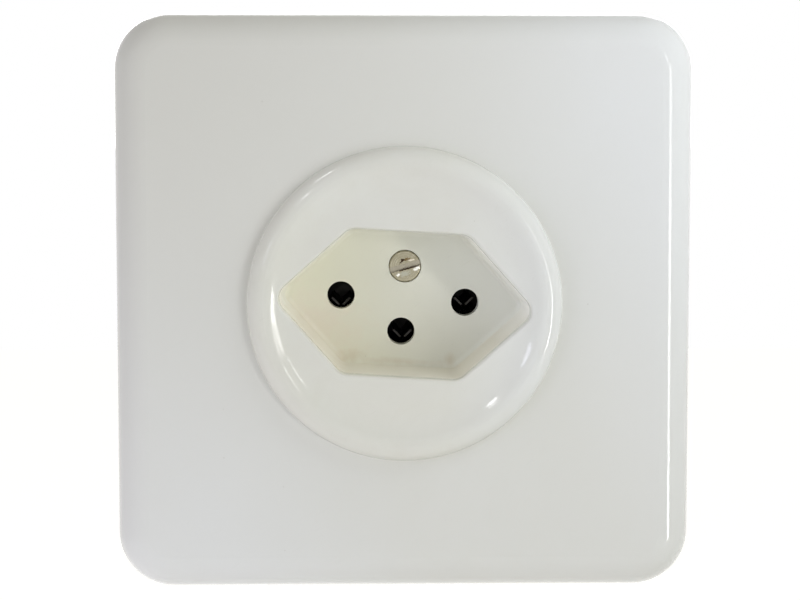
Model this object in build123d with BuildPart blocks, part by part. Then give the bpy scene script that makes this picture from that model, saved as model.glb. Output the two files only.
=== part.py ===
from build123d import *
import os
from math import atan, cos, radians, sin, sqrt, tan

# Flush wall socket for three round pins, in millimetres, +Z up, with its front towards -Y.
# Heights count from the wall face at Y = 0 into the room, so what lies in the wall is below zero.

# Pin layout
pin_spacing = 19.0
earth_offset = 5.0
pin_length = 19.0
pin_hole_radius = 2.1

# Cover plate
plate_width = 86.0
plate_height = 9.5
plate_corner_radius = 8.4
plate_draft = 1.0
plate_edge_radius = 5.0
plate_wall = 2.4
collar_wall = 2.6
rib_width = 1.6
rib_depth = 2.4
rib_angle = 45.0

# Round front with its hexagonal recess
rim_radius = 23.3
bead_radius = 2.4
bead_inner_radius = 3.0
ring_width = 7.15
dish_depth = 1.05
spigot_depth = 0.8
spigot_gap = 0.15
recess_half_height = 10.8
recess_end_margin = 3.75
recess_tip_radius = 2.3
recess_corner_radius = 2.5
recess_depth = 12.0
recess_draft = 2.5
recess_lip_radius = 0.5
recess_foot_radius = 0.8
recess_wall = 1.8
recess_floor = 2.8
front_clearance = 0.45
insert_turn = 3.5

# Screw that holds the front, and its loose square nut in the base
screw_offset = 5.0
screw_radius = 1.5
screw_hole_clearance = 0.2
screw_head_radius = 2.45
screw_head_height = 1.4
screw_head_gap = 0.05
screw_head_stand = 0.2
screw_edge_radius = 0.3
screw_slot_width = 0.8
screw_slot_depth = 0.8
screw_slot_angle = 15.7
screw_end_length = 1.2
screw_end_chamfer = 0.3
screw_room = 0.6
front_nut_width = 7.0
front_nut_thickness = 3.5
front_nut_depth = 12.0
front_nut_play = 0.4
thread_gap = 0.05

# Mounting plate of folded sheet steel
frame_edge = 2.0
frame_corner_radius = 4.0
frame_thickness = 1.2
frame_lip_height = 4.0
frame_lip_inset = 7.0
frame_bend_radius = 0.8
frame_hole_clearance = 0.6
box_pitch = 60.0
box_slot_length = 8.0
box_slot_width = 4.2

# Rivets between mounting plate and base
rivet_angle = 60.0
rivet_radius = 1.25
rivet_bore_radius = 0.7
rivet_clearance = 0.05
rivet_head_radius = 1.8
rivet_head_height = 0.8

# Base
body_wall = 3.2
body_edge_radius = 1.5
base_wall = 2.6
back_rim = 3.2
back_depth = 0.7
ejector_radius = 2.0
ejector_depth = 0.3
ejector_circle = 14.5
flange_chamfer = 0.5
flange_overhang = 4.0
flange_side = 0.9
flange_thickness = 4.0

# Contacts of folded strip, each with two blades that stand in a V under its pin
strip_thickness = 0.8
strip_width = 5.8
strip_bend_radius = 0.6
chamber_half = 3.7
pin_end_gap = 0.8
seat_gap = 0.1
jaw_thickness = 0.3
jaw_depth = 1.55
jaw_slit = 0.6
jaw_span = 1.4
jaw_gap = 1.4

# Leaf springs that press the blades up
spring_thickness = 0.35
spring_width = 3.6
spring_length = 6.4
spring_gap = 0.05

# Screw terminals
terminal_margin = 4.5
terminal_depth = 12.0
clamp_width = 7.6
clamp_thickness = 1.5
clamp_groove_radius = 0.9
clamp_groove_offset = 2.6
trench_gap = 0.4
terminal_screw_radius = 1.7
terminal_screw_clearance = 0.2
terminal_head_radius = 2.9
terminal_head_height = 2.0
terminal_slot_width = 0.8
terminal_slot_depth = 1.0
nut_width = 6.0
nut_thickness = 3.0
nut_gap = 0.1
nut_room = 0.6

# Places and heights that follow from the sizes
live_place = (-pin_spacing / 2, 0)
neutral_place = (pin_spacing / 2, 0)
earth_place = (0, -earth_offset)
screw_place = (0, screw_offset)
poles = {
    "live": (live_place, (-1, 0)),
    "neutral": (neutral_place, (1, 0)),
    "earth": (earth_place, (0, -1)),
}

crest_height = plate_height + bead_radius
crest_radius = rim_radius - bead_radius
dish_height = crest_height - dish_depth
floor_height = dish_height - recess_depth
base_seat_height = floor_height - recess_floor
jaw_height = base_seat_height - jaw_gap
chamber_floor = floor_height - pin_length - pin_end_gap - strip_thickness
base_back = chamber_floor - base_wall
pad_bottom = -terminal_depth - strip_thickness
clamp_top = clamp_thickness - terminal_depth
riser_place = chamber_half + strip_thickness / 2
chamber_reach = chamber_half + strip_thickness + strip_bend_radius + seat_gap

dish_radius = rim_radius - ring_width
recess_half_length = rim_radius - recess_end_margin
corner_cut = sqrt(2) - 1
front_reach = recess_half_length - corner_cut * recess_tip_radius + recess_wall
plate_hole_radius = front_reach + front_clearance
collar_radius = plate_hole_radius + collar_wall
body_radius = plate_hole_radius + body_wall
flange_radius = body_radius + flange_overhang
flange_width = 2 * (body_radius + flange_side)
rivet_circle_radius = body_radius + flange_overhang / 2
terminal_reach = body_radius - terminal_margin - pin_spacing / 2
frame_width = box_pitch + box_slot_length + 2 * frame_edge
frame_lip_width = frame_width - 2 * frame_lip_inset

# Planes: the wall face, the same turned with the front, and a section with radius across and height up
wall = Plane.XZ
turned = Plane(
    origin=wall.origin,
    x_dir=(cos(radians(insert_turn)), 0, -sin(radians(insert_turn))),
    z_dir=wall.z_dir,
)
section = Plane(origin=wall.origin, x_dir=wall.y_dir, z_dir=wall.x_dir)
screw_point = turned.from_local_coords((*screw_place, 0))
screw_axis = Plane(origin=screw_point, x_dir=(1, 0, 0), z_dir=(0, -1, 0))


def pole_plane(place, outward, distance=0):
    """Wall plane moved to a pole, or further out along its terminal, with local x pointing outward."""
    across = place[0] + outward[0] * distance
    up = place[1] + outward[1] * distance
    return Plane(origin=(across, 0, up), x_dir=(outward[0], 0, outward[1]), z_dir=(0, -1, 0))


def recess_outline(grow):
    """Hexagon with 45 degree ends and rounded corners, offset outwards by grow."""
    flat = recess_half_length - recess_half_height
    half_radii = [recess_tip_radius, recess_corner_radius, recess_corner_radius]
    with BuildSketch() as outline:
        with BuildLine():
            FilletPolyline(
                (-recess_half_length, 0),
                (-flat, recess_half_height),
                (flat, recess_half_height),
                (recess_half_length, 0),
                (flat, -recess_half_height),
                (-flat, -recess_half_height),
                radius=half_radii + half_radii,
                close=True,
            )
        make_face()
        offset(amount=grow)
    return outline.sketch


os.makedirs("parts", exist_ok=True)

# Cover plate: a drafted square shell with a round hole for the front and a collar behind it
with BuildPart() as cover_plate:
    with BuildSketch(wall):
        RectangleRounded(plate_width, plate_width, plate_corner_radius)
    extrude(amount=plate_height, taper=plate_draft)
    fillet(cover_plate.faces().sort_by(Axis.Y)[0].edges(), plate_edge_radius)
    inner_width = plate_width - 2 * plate_wall
    with BuildSketch(wall):
        RectangleRounded(inner_width, inner_width, plate_corner_radius - plate_wall)
    extrude(amount=plate_height - plate_wall, taper=plate_draft, mode=Mode.SUBTRACT)
    inner_face = cover_plate.faces().filter_by(Plane.XZ).sort_by(Axis.Y)[1]
    fillet(inner_face.edges(), plate_edge_radius - plate_wall)
    rib_reach = sqrt(2) * (plate_width / 2 - plate_corner_radius) + plate_corner_radius - plate_wall
    with BuildSketch(wall.offset(plate_height - plate_wall - rib_depth)):
        with PolarLocations(0, 2, start_angle=rib_angle, angular_range=180):
            Rectangle(2 * rib_reach, rib_width)
    extrude(amount=rib_depth)
    with BuildSketch(wall.offset(frame_thickness)):
        Circle(collar_radius)
    extrude(amount=plate_height - plate_wall - frame_thickness)
    with BuildSketch(wall):
        Circle(plate_hole_radius)
    extrude(amount=plate_height, mode=Mode.SUBTRACT)
cover_plate.part.label = "cover_plate"
export_step(cover_plate.part, "parts/cover_plate.step")

# Front: a turned bead and dish whose rim lies on the plate and whose spigot sits in its hole.
# The deep recess stands a few degrees askew, as on the used socket.
bead_slope = 2 * atan(dish_depth / (crest_radius - dish_radius))
inflection = (
    crest_radius - bead_inner_radius * sin(bead_slope),
    crest_height - bead_inner_radius * (1 - cos(bead_slope)),
)
with BuildPart() as socket_front:
    with BuildSketch(section):
        with BuildLine():
            Polyline((0, dish_height), (0, plate_height), (rim_radius, plate_height))
            bead = TangentArc((rim_radius, plate_height), (crest_radius, crest_height), tangent=(0, 1))
            shoulder = TangentArc(bead @ 1, inflection, tangent=(-1, 0))
            hollow = TangentArc(shoulder @ 1, (dish_radius, dish_height), tangent=shoulder % 1)
            Line(hollow @ 1, (0, dish_height))
        make_face()
    revolve(axis=Axis.Y)
    with BuildSketch(wall.offset(plate_height - spigot_depth)):
        Circle(plate_hole_radius - spigot_gap)
    extrude(amount=spigot_depth)
    with BuildSketch(turned.offset(base_seat_height)):
        add(recess_outline(recess_wall))
    extrude(amount=plate_height - base_seat_height)
    with BuildSketch(turned.offset(crest_height)):
        add(recess_outline(dish_depth * tan(radians(recess_draft))))
    extrude(amount=floor_height - crest_height, taper=recess_draft, mode=Mode.SUBTRACT)
    fillet(socket_front.edges(Select.LAST).group_by(Axis.Y)[-1], recess_foot_radius)
    mouth = socket_front.edges().filter_by_position(Axis.Y, -crest_height, recess_lip_radius - dish_height)
    fillet(mouth.filter_by(GeomType.CIRCLE, reverse=True), recess_lip_radius)
    with Locations(turned.offset(floor_height)):
        with Locations(live_place, neutral_place, earth_place):
            Hole(pin_hole_radius, depth=recess_floor)
        with Locations(screw_place):
            CounterBoreHole(
                radius=screw_radius + screw_hole_clearance,
                counter_bore_radius=screw_head_radius + screw_head_gap,
                counter_bore_depth=screw_head_height - screw_head_stand,
                depth=recess_floor,
            )
socket_front.part.label = "socket_front"
export_step(socket_front.part, "parts/socket_front.step")

# Slotted cheese-head screw that pulls the front and the cover plate against the base
head_top = floor_height + screw_head_stand
nut_front = -front_nut_depth
screw_end = nut_front - front_nut_thickness - screw_end_length
with BuildPart() as front_screw:
    with BuildSketch(screw_axis.offset(head_top - screw_head_height)):
        Circle(screw_head_radius)
    extrude(amount=screw_head_height)
    fillet(front_screw.faces().sort_by(Axis.Y)[0].edges(), screw_edge_radius)
    with BuildSketch(screw_axis.offset(head_top - screw_slot_depth)):
        Rectangle(2 * screw_head_radius, screw_slot_width, rotation=screw_slot_angle)
    extrude(amount=screw_slot_depth, mode=Mode.SUBTRACT)
    with BuildSketch(screw_axis.offset(screw_end)):
        Circle(screw_radius)
    extrude(amount=head_top - screw_head_height - screw_end)
    chamfer(front_screw.faces().sort_by(Axis.Y)[-1].edges(), screw_end_chamfer)
front_screw.part.label = "front_screw"
export_step(front_screw.part, "parts/front_screw.step")

# Loose square nut: it follows the screw within the play of its pocket
with BuildPart() as front_nut:
    with BuildSketch(screw_axis.offset(nut_front - front_nut_thickness)):
        Rectangle(front_nut_width, front_nut_width)
        Circle(screw_radius + thread_gap, mode=Mode.SUBTRACT)
    extrude(amount=front_nut_thickness)
front_nut.part.label = "front_nut"
export_step(front_nut.part, "parts/front_nut.step")

# Mounting plate: sheet steel with slots for the box screws and two folded edges
with BuildPart() as mounting_plate:
    with BuildSketch(wall):
        RectangleRounded(frame_width, frame_width, frame_corner_radius)
        Circle(front_reach + frame_hole_clearance, mode=Mode.SUBTRACT)
        with GridLocations(box_pitch, 0, 2, 1):
            SlotOverall(box_slot_length, box_slot_width, mode=Mode.SUBTRACT)
        for angle in (rivet_angle, 180 - rivet_angle):
            with PolarLocations(rivet_circle_radius, 2, start_angle=angle):
                Circle(rivet_radius + rivet_clearance, mode=Mode.SUBTRACT)
    extrude(amount=frame_thickness)
    lip_place = frame_width / 2 - frame_thickness / 2
    with BuildSketch(wall):
        with GridLocations(0, 2 * lip_place, 1, 2):
            Rectangle(frame_lip_width, frame_thickness)
    extrude(amount=frame_lip_height)
    back_edges = mounting_plate.faces().sort_by(Axis.Y)[-1].edges().filter_by(Axis.X).group_by(Axis.Z)
    fillet(back_edges[0] + back_edges[-1], frame_bend_radius)
mounting_plate.part.label = "mounting_plate"
export_step(mounting_plate.part, "parts/mounting_plate.step")

# Base: one moulding with a chamber and an open terminal trench for each pole
with BuildPart() as socket_base:
    with BuildSketch(wall.offset(-flange_thickness)):
        Circle(flange_radius)
        Rectangle(flange_width, 2 * flange_radius, mode=Mode.INTERSECT)
    extrude(amount=flange_thickness)
    chamfer(socket_base.faces().sort_by(Axis.Y)[-1].edges(), flange_chamfer)
    with BuildSketch(wall.offset(base_back)):
        Circle(body_radius)
    extrude(amount=-base_back - flange_thickness)
    fillet(socket_base.faces().sort_by(Axis.Y)[-1].edges(), body_edge_radius)
    with BuildSketch(wall.offset(base_back)):
        Circle(body_radius - back_rim)
    extrude(amount=back_depth, mode=Mode.SUBTRACT)
    with BuildSketch(wall.offset(base_back + back_depth)):
        with PolarLocations(ejector_circle, len(poles), start_angle=rivet_angle / 2):
            Circle(ejector_radius)
    extrude(amount=ejector_depth, mode=Mode.SUBTRACT)
    with BuildSketch(wall.offset(-flange_thickness)):
        for angle in (rivet_angle, 180 - rivet_angle):
            with PolarLocations(rivet_circle_radius, 2, start_angle=angle):
                Circle(rivet_radius + rivet_clearance)
    extrude(amount=flange_thickness, mode=Mode.SUBTRACT)
    with BuildSketch(wall.offset(base_seat_height)):
        Circle(plate_hole_radius)
    extrude(amount=-base_seat_height, mode=Mode.SUBTRACT)
    for place, outward in poles.values():
        pole = pole_plane(place, outward)
        terminal = pole_plane(place, outward, terminal_reach)
        trench_length = flange_radius - chamber_half
        with BuildSketch(pole.offset(chamber_floor)):
            with Locations((-chamber_half, 0)):
                Rectangle(chamber_half + chamber_reach, 2 * chamber_half, align=(Align.MIN, Align.CENTER))
        extrude(amount=-chamber_floor, mode=Mode.SUBTRACT)
        with BuildSketch(pole.offset(pad_bottom)):
            with Locations((chamber_half, 0)):
                Rectangle(trench_length, clamp_width + 2 * trench_gap, align=(Align.MIN, Align.CENTER))
        extrude(amount=-pad_bottom, mode=Mode.SUBTRACT)
        with BuildSketch(terminal.offset(pad_bottom - nut_thickness - nut_room)):
            Rectangle(nut_width + 2 * nut_gap, nut_width + 2 * nut_gap)
        extrude(amount=nut_thickness + nut_room, mode=Mode.SUBTRACT)
    with BuildSketch(wall.offset(base_back)):
        with Locations(screw_place):
            Rectangle(front_nut_width + 2 * front_nut_play, front_nut_width + 2 * front_nut_play)
    extrude(amount=nut_front - base_back, mode=Mode.SUBTRACT)
    with BuildSketch(wall.offset(nut_front)):
        with Locations(screw_place):
            Circle(screw_radius + screw_room)
    extrude(amount=base_seat_height - nut_front, mode=Mode.SUBTRACT)
socket_base.part.label = "socket_base"
export_step(socket_base.part, "parts/socket_base.step")

# Hollow rivets, headed on the steel and on the back of the flange
with BuildPart() as frame_rivets:
    for angle in (rivet_angle, 180 - rivet_angle):
        with BuildSketch(wall.offset(-flange_thickness - rivet_head_height)):
            with PolarLocations(rivet_circle_radius, 2, start_angle=angle):
                Circle(rivet_head_radius)
        extrude(amount=rivet_head_height)
        with BuildSketch(wall.offset(-flange_thickness)):
            with PolarLocations(rivet_circle_radius, 2, start_angle=angle):
                Circle(rivet_radius)
        extrude(amount=flange_thickness + frame_thickness)
        with BuildSketch(wall.offset(frame_thickness)):
            with PolarLocations(rivet_circle_radius, 2, start_angle=angle):
                Circle(rivet_head_radius)
        extrude(amount=rivet_head_height)
    rivet_ends = frame_rivets.faces().filter_by(Plane.XZ).group_by(Axis.Y)
    chamfer(rivet_ends[0].edges() + rivet_ends[-1].edges(), rivet_head_height / 2)
    for angle in (rivet_angle, 180 - rivet_angle):
        with BuildSketch(wall.offset(-flange_thickness - rivet_head_height)):
            with PolarLocations(rivet_circle_radius, 2, start_angle=angle):
                Circle(rivet_bore_radius)
        extrude(amount=flange_thickness + frame_thickness + 2 * rivet_head_height, mode=Mode.SUBTRACT)
frame_rivets.part.label = "frame_rivets"
export_step(frame_rivets.part, "parts/frame_rivets.step")

# Contacts, springs and clamps, one of each for every pole
for name, (place, outward) in poles.items():
    pole = pole_plane(place, outward)
    strip_side = Plane(origin=pole.origin, x_dir=pole.x_dir, z_dir=pole.x_dir.cross(pole.z_dir))
    web_middle = chamber_floor + strip_thickness / 2
    pad_middle = pad_bottom + strip_thickness / 2
    upright = Plane(origin=pole.origin, x_dir=(1, 0, 0), z_dir=(0, -1, 0))
    with BuildPart() as contact:
        with BuildSketch(strip_side):
            with BuildLine():
                FilletPolyline(
                    (seat_gap - chamber_half, web_middle),
                    (riser_place, web_middle),
                    (riser_place, pad_middle),
                    (terminal_reach + clamp_width / 2, pad_middle),
                    radius=strip_bend_radius + strip_thickness / 2,
                )
            trace(line_width=strip_thickness)
        extrude(amount=strip_width / 2, both=True)
        for side in (-1, 1):
            with BuildSketch(upright.offset(web_middle)):
                with BuildLine():
                    Line(
                        (side * jaw_slit / 2, jaw_slit / 2 - jaw_depth),
                        (side * jaw_span, jaw_span - jaw_depth),
                    )
                trace(line_width=jaw_thickness)
            extrude(amount=jaw_height - web_middle)
        with BuildSketch(pole_plane(place, outward, terminal_reach).offset(pad_bottom)):
            Circle(terminal_screw_radius + terminal_screw_clearance)
        extrude(amount=strip_thickness, mode=Mode.SUBTRACT)
    contact.part.label = f"contact_{name}"
    export_step(contact.part, f"parts/contact_{name}.step")

    # Bowed leaf between the two blades and the wall below them
    lengthwise = Plane(origin=pole.origin, x_dir=(0, -1, 0), z_dir=(-1, 0, 0))
    spring_middle = chamber_floor + strip_thickness + (pad_bottom - chamber_floor) / 2
    spring_foot = spring_gap + spring_thickness / 2 - chamber_half
    jaw_low = jaw_slit / 2 - jaw_depth - jaw_thickness / sqrt(2)
    spring_crown = jaw_low - spring_gap - spring_thickness / 2
    with BuildPart() as spring:
        with BuildSketch(lengthwise):
            with BuildLine():
                ThreePointArc(
                    (spring_middle - spring_length / 2, spring_foot),
                    (spring_middle, spring_crown),
                    (spring_middle + spring_length / 2, spring_foot),
                )
            trace(line_width=spring_thickness)
        extrude(amount=spring_width / 2, both=True)
    spring.part.label = f"spring_{name}"
    export_step(spring.part, f"parts/spring_{name}.step")

    # Clamp plate with two wire grooves in its underside
    terminal = pole_plane(place, outward, terminal_reach)
    clamp_side = Plane(origin=terminal.origin, x_dir=terminal.y_dir, z_dir=terminal.x_dir)
    with BuildPart() as clamp:
        with BuildSketch(clamp_side):
            with Locations((0, -terminal_depth)):
                Rectangle(clamp_width, clamp_thickness, align=(Align.CENTER, Align.MIN))
            with Locations((clamp_groove_offset, -terminal_depth), (-clamp_groove_offset, -terminal_depth)):
                Circle(clamp_groove_radius, mode=Mode.SUBTRACT)
        extrude(amount=clamp_width / 2, both=True)
        with Locations(terminal.offset(clamp_top)):
            Hole(terminal_screw_radius + terminal_screw_clearance, depth=clamp_thickness)
    clamp.part.label = f"clamp_{name}"
    export_step(clamp.part, f"parts/clamp_{name}.step")

# Terminal screws
with BuildPart() as terminal_screws:
    for place, outward in poles.values():
        terminal = pole_plane(place, outward, terminal_reach)
        with BuildSketch(terminal.offset(pad_bottom - nut_thickness)):
            Circle(terminal_screw_radius)
        extrude(amount=clamp_top - pad_bottom + nut_thickness)
        with BuildSketch(terminal.offset(clamp_top)):
            Circle(terminal_head_radius)
        extrude(amount=terminal_head_height)
        with BuildSketch(terminal.offset(clamp_top + terminal_head_height - terminal_slot_depth)):
            Rectangle(2 * terminal_head_radius, terminal_slot_width)
        extrude(amount=terminal_slot_depth, mode=Mode.SUBTRACT)
terminal_screws.part.label = "terminal_screws"
export_step(terminal_screws.part, "parts/terminal_screws.step")

# Square nuts under the contact pads
with BuildPart() as terminal_nuts:
    for place, outward in poles.values():
        terminal = pole_plane(place, outward, terminal_reach)
        with BuildSketch(terminal.offset(pad_bottom - nut_thickness)):
            Rectangle(nut_width, nut_width)
            Circle(terminal_screw_radius + thread_gap, mode=Mode.SUBTRACT)
        extrude(amount=nut_thickness)
terminal_nuts.part.label = "terminal_nuts"
export_step(terminal_nuts.part, "parts/terminal_nuts.step")
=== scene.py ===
from math import cos, radians, sin

import bpy
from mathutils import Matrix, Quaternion, Vector

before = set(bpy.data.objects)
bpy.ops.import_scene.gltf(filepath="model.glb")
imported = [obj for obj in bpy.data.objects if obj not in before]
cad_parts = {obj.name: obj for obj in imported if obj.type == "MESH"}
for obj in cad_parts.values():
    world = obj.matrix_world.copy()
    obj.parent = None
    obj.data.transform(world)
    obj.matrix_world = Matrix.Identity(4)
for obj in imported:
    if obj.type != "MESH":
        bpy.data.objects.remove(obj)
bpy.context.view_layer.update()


# Base: the pot that sits in the wall box and carries every live piece.
# It is pressed from black phenolic powder, so its skin is half gloss with paler flow clouds.
# Handling has left it dusty, with fine rub marks, and its chambers are painted a pale grey as painted light.
def screen_colour(red, green, blue):
    """The linear colour that shaders take, from one as a screen shows it."""
    linear = [
        value / 255 / 12.92 if value <= 10 else ((value / 255 + 0.055) / 1.055) ** 2.4
        for value in (red, green, blue)
    ]
    return (*linear, 1.0)


def feed(tree, socket, value):
    """Sets an input to a plain value, or links it to the output socket that feeds it."""
    if isinstance(value, bpy.types.NodeSocket):
        tree.links.new(value, socket)
    else:
        socket.default_value = value


def put(tree, kind, inputs=None, **settings):
    """Adds a node with its settings and inputs."""
    node = tree.nodes.new(kind)
    for name, value in settings.items():
        setattr(node, name, value)
    for name, value in (inputs or {}).items():
        feed(tree, node.inputs[name], value)
    return node


def place_of(tree):
    """A piece's own coordinates in metres, as a socket."""
    return put(tree, "ShaderNodeTexCoord").outputs["Object"]


def between(tree, value, low, high, new_low, new_high):
    """Maps a value from one range to another and returns the socket."""
    ranges = {"Value": value, "From Min": low, "From Max": high, "To Min": new_low, "To Max": new_high}
    return put(tree, "ShaderNodeMapRange", ranges).outputs[0]


def combine(tree, operation, first, second):
    """One step of arithmetic on two values, as a socket."""
    node = put(tree, "ShaderNodeMath", operation=operation)
    for socket, value in zip(node.inputs, (first, second)):
        feed(tree, socket, value)
    return node.outputs[0]


def blend_colour(tree, share, first, second):
    """Mixes two colours by a mask and returns the mixed colour's socket."""
    mix = put(tree, "ShaderNodeMix", data_type="RGBA")
    share_in, first_in, second_in, blend_out = mix.inputs[0], mix.inputs[6], mix.inputs[7], mix.outputs[2]
    feed(tree, share_in, share)
    feed(tree, first_in, first)
    feed(tree, second_in, second)
    return blend_out


def tint(tree, tone, mask, share, screen):
    """Lays a screen colour over a tone where a mask is on, by no more than the share."""
    return blend_colour(tree, combine(tree, "MULTIPLY", mask, share), tone, screen_colour(*screen))


def shared_effect(name, values, results):
    """A node group with a vector input, some value inputs and some value outputs."""
    tree = bpy.data.node_groups.new(name, "ShaderNodeTree")
    tree.interface.new_socket("Vector", in_out="INPUT", socket_type="NodeSocketVector")
    for value in values:
        tree.interface.new_socket(value, in_out="INPUT", socket_type="NodeSocketFloat")
    for result in results:
        tree.interface.new_socket(result, in_out="OUTPUT", socket_type="NodeSocketFloat")
    return tree, tree.nodes.new("NodeGroupInput"), tree.nodes.new("NodeGroupOutput")


def effect(tree, group, inputs):
    """Places a shared effect in a material, on the piece's own coordinates."""
    return put(tree, "ShaderNodeGroup", {"Vector": place_of(tree), **inputs}, node_tree=group)


def finish_of(node_name, **constants):
    """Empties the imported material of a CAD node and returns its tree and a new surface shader."""
    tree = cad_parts[node_name].material_slots[0].material.node_tree
    tree.nodes.clear()
    output = put(tree, "ShaderNodeOutputMaterial")
    surface = put(tree, "ShaderNodeBsdfPrincipled", constants)
    tree.links.new(surface.outputs[0], output.inputs["Surface"])
    return tree, surface


def dress(tree, surface, tone, roughness):
    """Gives a surface its colour and its gloss."""
    tree.links.new(tone, surface.inputs["Base Color"])
    tree.links.new(roughness, surface.inputs["Roughness"])


def emboss(tree, surface, height, strength, depth):
    """Gives a surface a fine grain, too shallow for the mesh."""
    bump = put(tree, "ShaderNodeBump", {"Height": height, "Strength": strength, "Distance": depth})
    tree.links.new(bump.outputs[0], surface.inputs["Normal"])


noise_span = (0.3, 0.7)
mould_skin, skin_in, skin_out = shared_effect("mould_skin", ["Cloud Size", "Grain Size"], ["Clouds", "Grain"])
clouds = put(mould_skin, "ShaderNodeTexNoise", {
    "Vector": skin_in.outputs["Vector"],
    "Scale": combine(mould_skin, "DIVIDE", 1.0, skin_in.outputs["Cloud Size"]),
    "Detail": 5.0, "Roughness": 0.6, "Distortion": 0.8})
grain = put(mould_skin, "ShaderNodeTexNoise", {
    "Vector": skin_in.outputs["Vector"],
    "Scale": combine(mould_skin, "DIVIDE", 1.0, skin_in.outputs["Grain Size"]),
    "Detail": 2.0})
mould_skin.links.new(between(mould_skin, clouds.outputs[0], *noise_span, 0.0, 1.0), skin_out.inputs["Clouds"])
mould_skin.links.new(grain.outputs[0], skin_out.inputs["Grain"])

rub_edge = (0.66, 0.74)
rub_turns = ((0.3, 0.5, 0.2), (1.1, 0.2, 1.3), (0.4, 1.4, 2.2))
rub_marks, rub_in, rub_out = shared_effect("rub_marks", ["Length", "Width", "Amount"], ["Marks"])
rub_along = combine(rub_marks, "DIVIDE", 1.0, rub_in.outputs["Length"])
rub_across = combine(rub_marks, "DIVIDE", 1.0, rub_in.outputs["Width"])
rub_scale = put(rub_marks, "ShaderNodeCombineXYZ", {"X": rub_along, "Y": rub_across, "Z": rub_across})
rub_sum = 0.0
for rub_turn in rub_turns:
    rub_place = put(rub_marks, "ShaderNodeMapping", {
        "Vector": rub_in.outputs["Vector"], "Rotation": rub_turn})
    rub_stretch = put(rub_marks, "ShaderNodeVectorMath", operation="MULTIPLY")
    rub_marks.links.new(rub_place.outputs[0], rub_stretch.inputs[0])
    rub_marks.links.new(rub_scale.outputs[0], rub_stretch.inputs[1])
    rub_noise = put(rub_marks, "ShaderNodeTexNoise", {
        "Vector": rub_stretch.outputs[0], "Scale": 1.0, "Detail": 3.0, "Distortion": 0.3})
    rub_layer = between(rub_marks, rub_noise.outputs[0], *rub_edge, 0.0, 1.0)
    rub_sum = combine(rub_marks, "MAXIMUM", rub_sum, rub_layer)
rub_sum = combine(rub_marks, "MULTIPLY", rub_sum, rub_in.outputs["Amount"])
rub_marks.links.new(rub_sum, rub_out.inputs["Marks"])

specks, speck_in, speck_out = shared_effect("specks", ["Spacing", "Size", "Share"], ["Specks"])
speck_cells = put(specks, "ShaderNodeTexVoronoi", {
    "Vector": speck_in.outputs["Vector"],
    "Scale": combine(specks, "DIVIDE", 1.0, speck_in.outputs["Spacing"])})
speck_draw = put(specks, "ShaderNodeSeparateColor", {"Color": speck_cells.outputs["Color"]})
speck_chosen = combine(specks, "LESS_THAN", speck_draw.outputs[0], speck_in.outputs["Share"])
speck_size = combine(specks, "MULTIPLY", speck_in.outputs["Size"], speck_draw.outputs[1])
speck_dot = combine(specks, "LESS_THAN", speck_cells.outputs["Distance"], speck_size)
specks.links.new(combine(specks, "MULTIPLY", speck_chosen, speck_dot), speck_out.inputs["Specks"])

chamber_edge = (0.0135, 0.0145)
chamber_back = (0.018, 0.02)
tree, surface = finish_of("socket_base")
base_skin = effect(tree, mould_skin, {"Cloud Size": 0.012, "Grain Size": 0.0004})
base_rubs = effect(tree, rub_marks, {"Length": 0.009, "Width": 0.0003, "Amount": 0.6})
base_dust = effect(tree, specks, {"Spacing": 0.0009, "Size": 0.22, "Share": 0.12})
base_axes = put(tree, "ShaderNodeSeparateXYZ", {"Vector": place_of(tree)})
base_across = put(tree, "ShaderNodeCombineXYZ", {"X": base_axes.outputs["X"], "Y": base_axes.outputs["Z"]})
base_reach = put(tree, "ShaderNodeVectorMath", {"Vector": base_across.outputs[0]}, operation="LENGTH")
# Painted light: a mask for the inside of the chambers, which is painted a pale grey below.
chamber_painted_light = combine(
    tree, "MULTIPLY", between(tree, base_reach.outputs["Value"], *chamber_edge, 1.0, 0.0),
    between(tree, base_axes.outputs["Y"], *chamber_back, 1.0, 0.0))
base_tone = blend_colour(
    tree, base_skin.outputs["Clouds"], screen_colour(33, 32, 33), screen_colour(52, 50, 49))
base_tone = tint(tree, base_tone, base_rubs.outputs[0], 0.5, (92, 88, 84))
base_tone = tint(tree, base_tone, base_dust.outputs[0], 0.3, (132, 127, 119))
# Painted light: pale grey in the chambers stands in for light inside them.
base_tone = tint(tree, base_tone, chamber_painted_light, 0.9, (122, 120, 118))
dress(tree, surface, base_tone, between(tree, base_skin.outputs["Clouds"], 0.0, 1.0, 0.45, 0.62))
emboss(tree, surface, base_skin.outputs["Grain"], 0.12, 0.0002)


# Contacts: strip folded to a step, with a foot on the chamber's floor and a pad under the clamp.
# Two blades on the foot stand in a V and grip the pin.
# The strip is brass with a dull nickel plate, brown where years of sparks and dust have got at it; its tones
# are painted dark as painted shade deep in the pin holes.
tree, surface = finish_of("contact_live", Metallic=1.0)
contact_skin = effect(tree, mould_skin, {"Cloud Size": 0.003, "Grain Size": 0.0003})
contact_rubs = effect(tree, rub_marks, {"Length": 0.004, "Width": 0.0001, "Amount": 1.0})
# Painted shade: both tones are darker than dull nickel, for the shade in the pin holes.
contact_shaded_tone = blend_colour(
    tree, contact_skin.outputs["Clouds"], screen_colour(75, 74, 72), screen_colour(54, 52, 48))
contact_shaded_tone = tint(tree, contact_shaded_tone, contact_rubs.outputs[0], 0.5, (100, 99, 96))
dress(tree, surface, contact_shaded_tone, between(tree, contact_skin.outputs["Clouds"], 0.0, 1.0, 0.35, 0.55))


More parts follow.
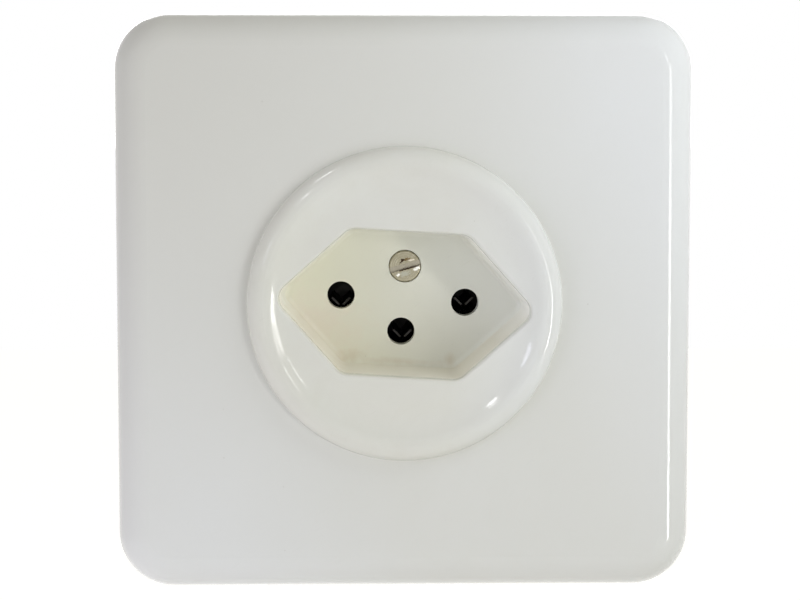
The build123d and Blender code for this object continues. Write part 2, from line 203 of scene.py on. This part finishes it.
# Nuts and rivets: bare brass, turned or cut from bar and tube, and left unplated.
# Years in a wall have given it a brown bloom, with brighter streaks where tools have rubbed it.
tree, surface = finish_of("front_nut", Metallic=1.0)
brass_skin = effect(tree, mould_skin, {"Cloud Size": 0.004, "Grain Size": 0.0003})
brass_rubs = effect(tree, rub_marks, {"Length": 0.004, "Width": 0.0001, "Amount": 1.0})
brass_tone = blend_colour(
    tree, brass_skin.outputs["Clouds"], screen_colour(205, 178, 108), screen_colour(160, 127, 70))
brass_tone = tint(tree, brass_tone, brass_rubs.outputs[0], 0.6, (228, 205, 142))
dress(tree, surface, brass_tone, between(tree, brass_skin.outputs["Clouds"], 0.0, 1.0, 0.26, 0.45))
emboss(tree, surface, brass_skin.outputs["Grain"], 0.1, 0.0001)


# Leaf springs: thin hardened strip, bowed between the two blades and the wall or folded strip below them.
# The heat of hardening has left it blue-grey with straw-coloured clouds.
tree, surface = finish_of("spring_live", Metallic=1.0)
spring_skin = effect(tree, mould_skin, {"Cloud Size": 0.003, "Grain Size": 0.0002})
spring_tone = blend_colour(
    tree, spring_skin.outputs["Clouds"], screen_colour(112, 118, 132), screen_colour(140, 128, 108))
dress(tree, surface, spring_tone, between(tree, spring_skin.outputs["Grain"], *noise_span, 0.22, 0.36))


# Mounting plate, clamps and terminal screws: steel, stamped or turned, then zinc-plated and passivated.
# The zinc is dull, with small crystal clouds, a faint yellow bloom and drawn rub marks.
tree, surface = finish_of("mounting_plate", Metallic=1.0)
zinc_skin = effect(tree, mould_skin, {"Cloud Size": 0.0024, "Grain Size": 0.0004})
zinc_bloom = effect(tree, mould_skin, {"Cloud Size": 0.03, "Grain Size": 0.001})
zinc_rubs = effect(tree, rub_marks, {"Length": 0.02, "Width": 0.0002, "Amount": 0.9})
zinc_tone = blend_colour(
    tree, zinc_skin.outputs["Clouds"], screen_colour(162, 164, 167), screen_colour(144, 146, 150))
zinc_tone = tint(tree, zinc_tone, zinc_bloom.outputs["Clouds"], 0.25, (166, 157, 132))
zinc_tone = tint(tree, zinc_tone, zinc_rubs.outputs[0], 0.5, (192, 194, 196))
dress(tree, surface, zinc_tone, between(tree, zinc_skin.outputs["Clouds"], 0.0, 1.0, 0.28, 0.42))
emboss(tree, surface, zinc_skin.outputs["Grain"], 0.15, 0.0002)


# Cover plate: a square shell that hides the wall box, pressed from white urea powder.
# It is polished by its mould, hard and even, with hardly any wear except hairline marks and dust.
# Its upper right and lower left corners are painted paler and bluer as painted light, which leaves a slanting
# band across its middle a little yellower, and its upper left corner is painted greyer as painted shade.
band_slope = 0.5
band_edge = (0.015, 0.045)
corner_span = (0.0, 0.075)
tree, surface = finish_of("cover_plate", IOR=1.5)
plate_skin = effect(tree, mould_skin, {"Cloud Size": 0.03, "Grain Size": 0.0011})
plate_rubs = effect(tree, rub_marks, {"Length": 0.012, "Width": 0.00022, "Amount": 0.35})
plate_dust = effect(tree, specks, {"Spacing": 0.003, "Size": 0.05, "Share": 0.07})
plate_axes = put(tree, "ShaderNodeSeparateXYZ", {"Vector": place_of(tree)})
# Painted light: the corners off the slanting band get a paler, bluer tone.
plate_slant = combine(
    tree, "ADD", plate_axes.outputs["X"], combine(tree, "MULTIPLY", plate_axes.outputs["Z"], band_slope))
plate_painted_light = between(tree, combine(tree, "ABSOLUTE", plate_slant, 0.0), *band_edge, 0.0, 1.0)
# Painted shade: the upper left corner gets a greyer tone.
plate_painted_shade = between(
    tree, combine(tree, "SUBTRACT", plate_axes.outputs["Z"], plate_axes.outputs["X"]), *corner_span, 0.0, 1.0)
plate_tone = blend_colour(
    tree, plate_skin.outputs["Clouds"], screen_colour(222, 221, 214), screen_colour(220, 219, 211))
plate_tone = blend_colour(tree, plate_painted_light, plate_tone, screen_colour(225, 225, 222))
plate_tone = blend_colour(tree, plate_painted_shade, plate_tone, screen_colour(214, 212, 204))
plate_tone = tint(tree, plate_tone, plate_rubs.outputs[0], 0.3, (208, 207, 201))
plate_tone = tint(tree, plate_tone, plate_dust.outputs[0], 0.25, (172, 166, 154))
plate_gloss = between(tree, plate_skin.outputs["Clouds"], 0.0, 1.0, 0.09, 0.12)
plate_gloss = combine(tree, "ADD", plate_gloss, combine(tree, "MULTIPLY", plate_rubs.outputs[0], 0.15))
dress(tree, surface, plate_tone, plate_gloss)
emboss(tree, surface, plate_skin.outputs["Grain"], 0.03, 0.0002)


# Front: the round insert that the plug goes into, of a warmer white urea than the plate, painted paler at its
# right as painted light.
# Plugs have polished its dish and left rub marks and smudges. The recess is yellower, most at its left end,
# where it is stained too. Its walls are painted paler than its floor as painted light, the lower walls less
# so as painted shade, with brown dirt at their foot.
millimetre = 0.001
spot_rim = 1.1


def worn_spot(tree, place, along, across, long, wide, turn, ragged, core):
    """A mask for one mark, with its middle, half length and half width in millimetres, full in its core."""
    moved = put(tree, "ShaderNodeMapping", {
        "Vector": place, "Location": (along * millimetre, 0.0, across * millimetre),
        "Rotation": (0.0, -radians(turn), 0.0)}, vector_type="TEXTURE")
    flat = put(tree, "ShaderNodeVectorMath", operation="MULTIPLY")
    tree.links.new(moved.outputs[0], flat.inputs[0])
    flat.inputs[1].default_value = (1 / (long * millimetre), 0.0, 1 / (wide * millimetre))
    reach = put(tree, "ShaderNodeVectorMath", {"Vector": flat.outputs[0]}, operation="LENGTH")
    return between(tree, combine(tree, "ADD", reach.outputs["Value"], ragged), core, spot_rim, 1.0, 0.0)


recess_lip = (-0.0106, -0.0086)
recess_foot = (0.0003, 0.001)
left_span = (-0.013, 0.015)
right_span = (0.006, 0.019)
low_span = (-0.006, 0.0)
aged_slope = 0.5
aged_span = (-0.002, 0.011)
stain_mark = (-13.0, -3.5, 8.0, 7.0, 0.0)
dirt_marks = ((-8.4, -8.9, 2.6, 1.1, 3.0), (7.2, -9.3, 0.9, 1.3, 0.0), (-0.5, -9.7, 9.0, 0.6, -3.0))
tree, surface = finish_of("socket_front", IOR=1.5)
front_skin = effect(tree, mould_skin, {"Cloud Size": 0.018, "Grain Size": 0.001})
front_smears = effect(tree, mould_skin, {"Cloud Size": 0.011, "Grain Size": 0.0016})
front_rubs = effect(tree, rub_marks, {"Length": 0.008, "Width": 0.0002, "Amount": 0.5})
front_dust = effect(tree, specks, {"Spacing": 0.002, "Size": 0.07, "Share": 0.14})
front_place = place_of(tree)
front_axes = put(tree, "ShaderNodeSeparateXYZ", {"Vector": front_place})
front_left = between(tree, front_axes.outputs["X"], *left_span, 1.0, 0.0)
# Painted light: the right of the front is painted paler.
front_painted_light = between(tree, front_axes.outputs["X"], *right_span, 0.0, 1.0)
# Painted shade: a mask for the lower walls of the recess, which get a darker, yellower tone.
lower_wall_painted_shade = between(tree, front_axes.outputs["Z"], *low_span, 1.0, 0.0)
front_deep = between(tree, front_axes.outputs["Y"], *recess_lip, 0.0, 1.0)
# Painted light: a mask for the walls of the recess, which are painted paler than its floor.
wall_painted_light_mask = between(tree, front_axes.outputs["Y"], *recess_foot, 1.0, 0.0)
front_slant = combine(
    tree, "ADD", combine(tree, "MULTIPLY", front_axes.outputs["X"], aged_slope), front_axes.outputs["Z"])
front_aged = between(tree, front_slant, *aged_span, 0.25, 0.0)

floor_tone = blend_colour(tree, front_left, screen_colour(232, 232, 225), screen_colour(232, 230, 210))
# Painted light on the walls, with painted shade on the lower ones.
wall_light_and_shade_tone = blend_colour(tree, front_left, screen_colour(248, 248, 243), screen_colour(247, 246, 236))
wall_light_and_shade_tone = blend_colour(tree, lower_wall_painted_shade, wall_light_and_shade_tone, screen_colour(236, 232, 217))
recess_tone = blend_colour(tree, wall_painted_light_mask, floor_tone, wall_light_and_shade_tone)
recess_ragged = between(tree, front_smears.outputs["Grain"], *noise_span, -0.3, 0.3)
recess_stain = worn_spot(tree, front_place, *stain_mark, recess_ragged, 0.0)
recess_tone = blend_colour(tree, recess_stain, recess_tone, screen_colour(233, 226, 209))
for dirt_mark in dirt_marks:
    dirt_spot = worn_spot(tree, front_place, *dirt_mark, recess_ragged, 0.0)
    recess_tone = tint(tree, recess_tone, dirt_spot, 0.27, (186, 160, 122))

front_tone = blend_colour(
    tree, front_skin.outputs["Clouds"], screen_colour(224, 223, 214), screen_colour(221, 219, 210))
front_smudge = between(tree, front_smears.outputs["Clouds"], 0.4, 1.0, 0.0, 0.28)
front_tone = blend_colour(tree, front_smudge, front_tone, screen_colour(213, 210, 197))
front_tone = blend_colour(tree, front_aged, front_tone, screen_colour(223, 221, 206))
# Painted light: the paler right-hand tone.
front_tone = blend_colour(tree, front_painted_light, front_tone, screen_colour(227, 227, 222))
front_tone = blend_colour(tree, front_deep, front_tone, recess_tone)
front_tone = tint(tree, front_tone, front_rubs.outputs[0], 0.3, (206, 203, 190))
front_tone = tint(tree, front_tone, front_dust.outputs[0], 0.3, (160, 152, 136))
front_gloss = between(tree, front_skin.outputs["Clouds"], 0.0, 1.0, 0.07, 0.1)
front_gloss = combine(tree, "ADD", front_gloss, combine(tree, "MULTIPLY", front_rubs.outputs[0], 0.15))
front_gloss = combine(tree, "ADD", front_gloss, combine(tree, "MULTIPLY", front_deep, 0.25))
dress(tree, surface, front_tone, front_gloss)
emboss(tree, surface, front_skin.outputs["Grain"], 0.03, 0.0002)


# Front screw: turned from steel bar, slotted and nickel-plated; it pulls the front and the plate to the base.
# The nickel has dulled to a yellowish grey over its turning marks. Dirt lies in the slot, and a blade has
# left a dark nick. Painted glints sit on the lips of the slot and on a burr, a painted grey reflection on the
# lower face, and painted shade along the slot's lower lip.
slot_turn = 15.7
slot_half = 0.0004
slot_start = (0.0001, 0.0003)
painted_glint = (250, 249, 242)
dirt_and_shade_brown = (62, 48, 36)
# Besides the dirt and the nick, these marks hold painted glints, a painted grey reflection and a painted
# shade line along the slot's lower lip.
screw_marks_and_glints = (
    (-0.3, -1.1, 0.9, 0.42, 0.0, (174, 173, 158)), (1.3, 0.64, 0.6, 0.14, -3.0, (222, 214, 196)),
    (1.7, -0.8, 0.55, 0.28, 8.0, painted_glint), (-1.35, -1.04, 0.28, 0.2, 4.0, painted_glint),
    (0.5, 0.95, 0.6, 0.2, 0.0, (116, 97, 66)), (-0.2, 0.86, 0.62, 0.17, 25.0, dirt_and_shade_brown),
    (-0.08, 1.07, 0.4, 0.14, -22.0, dirt_and_shade_brown), (0.25, -0.47, 2.2, 0.13, 0.0, dirt_and_shade_brown))
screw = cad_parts["front_screw"]
screw_corners = [screw.matrix_world @ Vector(corner) for corner in screw.bound_box]
screw_middle = sum(screw_corners, Vector()) / len(screw_corners)
screw_face = min(corner.y for corner in screw_corners)
tree, surface = finish_of("front_screw", Metallic=1.0)
nickel_skin = effect(tree, mould_skin, {"Cloud Size": 0.0011, "Grain Size": 0.00025})
nickel_rubs = effect(tree, rub_marks, {"Length": 0.0016, "Width": 0.00009, "Amount": 1.0})
slot_place = put(tree, "ShaderNodeMapping", {
    "Vector": place_of(tree), "Location": (screw_middle.x, screw_face, screw_middle.z),
    "Rotation": (0.0, -radians(slot_turn), 0.0)}, vector_type="TEXTURE")
slot_axes = put(tree, "ShaderNodeSeparateXYZ", {"Vector": slot_place.outputs[0]})
slot_side = combine(tree, "ABSOLUTE", slot_axes.outputs["Z"], 0.0)
slot_in = combine(
    tree, "MULTIPLY", between(tree, slot_axes.outputs["Y"], *slot_start, 0.0, 1.0),
    between(tree, slot_side, slot_half, slot_half * 1.1, 1.0, 0.0))
turning = put(tree, "ShaderNodeTexWave", {
    "Vector": slot_place.outputs[0], "Scale": 900.0, "Distortion": 1.2, "Detail": 1.0},
    wave_type="RINGS", rings_direction="Y")
nickel_ragged = between(tree, nickel_skin.outputs["Grain"], *noise_span, -0.45, 0.45)
nickel_tone = blend_colour(
    tree, nickel_skin.outputs["Clouds"], screen_colour(180, 175, 154), screen_colour(154, 147, 124))
nickel_tone = tint(tree, nickel_tone, turning.outputs["Fac"], 0.3, (128, 120, 100))
nickel_tone = tint(tree, nickel_tone, nickel_rubs.outputs[0], 0.5, (216, 211, 200))
nickel_tone = tint(tree, nickel_tone, slot_in, 0.8, (168, 162, 147))
# Each mark is laid on as its own colour: dirt, the nick, painted glints, a painted reflection and painted
# shade.
for *screw_mark, mark_tone in screw_marks_and_glints:
    mark_spot = worn_spot(tree, slot_place.outputs[0], *screw_mark, nickel_ragged, 0.6)
    nickel_tone = blend_colour(tree, mark_spot, nickel_tone, screen_colour(*mark_tone))
dress(tree, surface, nickel_tone, between(tree, nickel_skin.outputs["Clouds"], 0.0, 1.0, 0.22, 0.4))
emboss(tree, surface, turning.outputs["Fac"], 0.25, 0.00004)


# Room: a pale floor well below the socket, as it hangs on a wall, and daylight from a side window.
# The floor and the air behind it look white to the camera, and the floor keeps the soft shadow.
# The window's panes show only in the gloss, and one slanting strip in their place gives the light.
def seen_straight(tree):
    """One for rays that the camera, gloss or glass sends out, and zero for the light on the object."""
    path = put(tree, "ShaderNodeLightPath")
    mirrored = combine(tree, "MAXIMUM", path.outputs["Is Glossy Ray"], path.outputs["Is Transmission Ray"])
    return combine(tree, "MAXIMUM", path.outputs["Is Camera Ray"], mirrored)


floor_height = -0.32
floor_half = 3.0
floor_corners = [
    (across * floor_half, ahead * floor_half, floor_height)
    for across, ahead in ((-1, -1), (1, -1), (1, 1), (-1, 1))
]
floor_mesh = bpy.data.meshes.new("floor")
floor_mesh.from_pydata(floor_corners, [], [(0, 1, 2, 3)])
floor = bpy.data.objects.new("floor", floor_mesh)
bpy.context.scene.collection.objects.link(floor)
floor_paint = bpy.data.materials.new("floor_paint")
floor_paint.use_nodes = True
tree = floor_paint.node_tree
tree.nodes.clear()
floor_diffuse = put(tree, "ShaderNodeBsdfDiffuse", {"Color": screen_colour(235, 235, 233)})
floor_strength = combine(tree, "MULTIPLY", seen_straight(tree), 0.8)
floor_glow = put(tree, "ShaderNodeEmission", {"Strength": floor_strength})
floor_mix = put(tree, "ShaderNodeAddShader")
tree.links.new(floor_diffuse.outputs[0], floor_mix.inputs[0])
tree.links.new(floor_glow.outputs[0], floor_mix.inputs[1])
floor_output = put(tree, "ShaderNodeOutputMaterial")
tree.links.new(floor_mix.outputs[0], floor_output.inputs["Surface"])
floor_mesh.materials.append(floor_paint)

world = bpy.data.worlds.new("air")
bpy.context.scene.world = world
world.use_nodes = True
tree = world.node_tree
tree.nodes.clear()
air_fill = put(tree, "ShaderNodeBackground", {"Color": (1.0, 0.95, 0.8, 1.0), "Strength": 0.285})
air_seen = put(tree, "ShaderNodeBackground", {"Color": (1.0, 1.0, 1.0, 1.0), "Strength": 1.0})
air_mix = put(tree, "ShaderNodeMixShader", {"Fac": seen_straight(tree)})
tree.links.new(air_fill.outputs[0], air_mix.inputs[1])
tree.links.new(air_seen.outputs[0], air_mix.inputs[2])
air_output = put(tree, "ShaderNodeOutputWorld")
tree.links.new(air_mix.outputs[0], air_output.inputs["Surface"])


def lamp(name, side, height, distance, width, tall, power, colour, lean=0.0):
    """A rectangular lamp aimed at the socket: degrees right of and above straight ahead, metres and watts."""
    light = bpy.data.lights.new(name, "AREA")
    light.shape = "RECTANGLE"
    light.size = width
    light.size_y = tall
    light.energy = power
    light.color = colour
    holder = bpy.data.objects.new(name, light)
    across = sin(radians(side)) * cos(radians(height))
    ahead = cos(radians(side)) * cos(radians(height))
    holder.location = Vector((across, -ahead, sin(radians(height)))) * distance
    aimed = (-holder.location).to_track_quat("-Z", "Y")
    holder.rotation_euler = (aimed @ Quaternion((0.0, 0.0, 1.0), radians(lean))).to_euler()
    holder.visible_camera = False
    bpy.context.scene.collection.objects.link(holder)
    return holder


plain_white = (1.0, 1.0, 1.0)
window_white = (1.0, 0.99, 0.96)
window_lean = 23
window_panes = (
    (46.0, -13.8, 1.0, 0.09, 0.14, 0.8), (42.0, -4.5, 1.0, 0.09, 0.2, 0.68),
    (37.5, 4.5, 1.0, 0.09, 0.13, 0.24), (29.0, 11.5, 1.0, 0.05, 0.12, 0.15))
for pane, pane_place in enumerate(window_panes):
    pane_holder = lamp(f"window_{pane}", *pane_place, window_white, window_lean)
    pane_holder.visible_diffuse = False

# Three small lights far to the left glint on the front alone.
glint_catcher = bpy.data.collections.new("glint_catcher")
glint_catcher.objects.link(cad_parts["socket_front"])
for glint_lamp in (
        lamp("ceiling_lamp", -25.5, 23, 1.0, 0.05, 0.05, 0.14, plain_white),
        lamp("high_light", -57, 52.5, 1.0, 0.13, 0.16, 0.74, plain_white),
        lamp("far_frame", -35, 9.3, 1.0, 0.06, 0.122, 0.14, (0.8, 0.84, 1.0))):
    glint_lamp.visible_diffuse = False
    glint_lamp.light_linking.receiver_collection = glint_catcher

lamp("room_behind", 180, 25, 0.7, 0.6, 0.6, 3.0, plain_white)
for soft_light in (
        lamp("window_light", 43.0, -0.3, 1.0, 0.05, 0.5, 1.9, window_white, 42),
        lamp("room_front", 0, 4, 0.9, 0.7, 0.65, 0.52, (0.8, 0.95, 1.0)),
        lamp("room_left", -60, 5, 1.0, 0.7, 0.7, 3.6, (0.79, 0.82, 1.0)),
        lamp("room_low", 40, -30, 0.55, 0.3, 0.3, 0.6, (0.72, 0.8, 1.0)),
        lamp("near_high", 60, 35, 0.18, 0.1, 0.1, 0.122, (0.84, 0.9, 1.0)),
        lamp("near_low", -60, -35, 0.18, 0.1, 0.1, 0.029, (1.0, 0.93, 1.0))):
    soft_light.visible_glossy = False


# Camera: a long lens a little above and to the left of the socket, as in the photograph.
# Its place was fitted to the outlines of the plate, the rim, the recess and the pin holes together.
camera = bpy.data.cameras.new("camera")
camera.sensor_width = 36.0
camera.lens = 86.19
camera.clip_start = 0.01
holder = bpy.data.objects.new("camera", camera)
camera_distance = 0.29227
camera_height = radians(4.441)
camera_side = radians(1.37)
aim = Vector((-0.00047, 0.0, -0.00012))
holder.location = camera_distance * Vector((
    -sin(camera_side) * cos(camera_height), -cos(camera_side) * cos(camera_height), sin(camera_height)))
holder.rotation_euler = (aim - holder.location).to_track_quat("-Z", "Y").to_euler()
bpy.context.scene.collection.objects.link(holder)
bpy.context.scene.camera = holder
bpy.context.scene.view_settings.view_transform = "Standard"
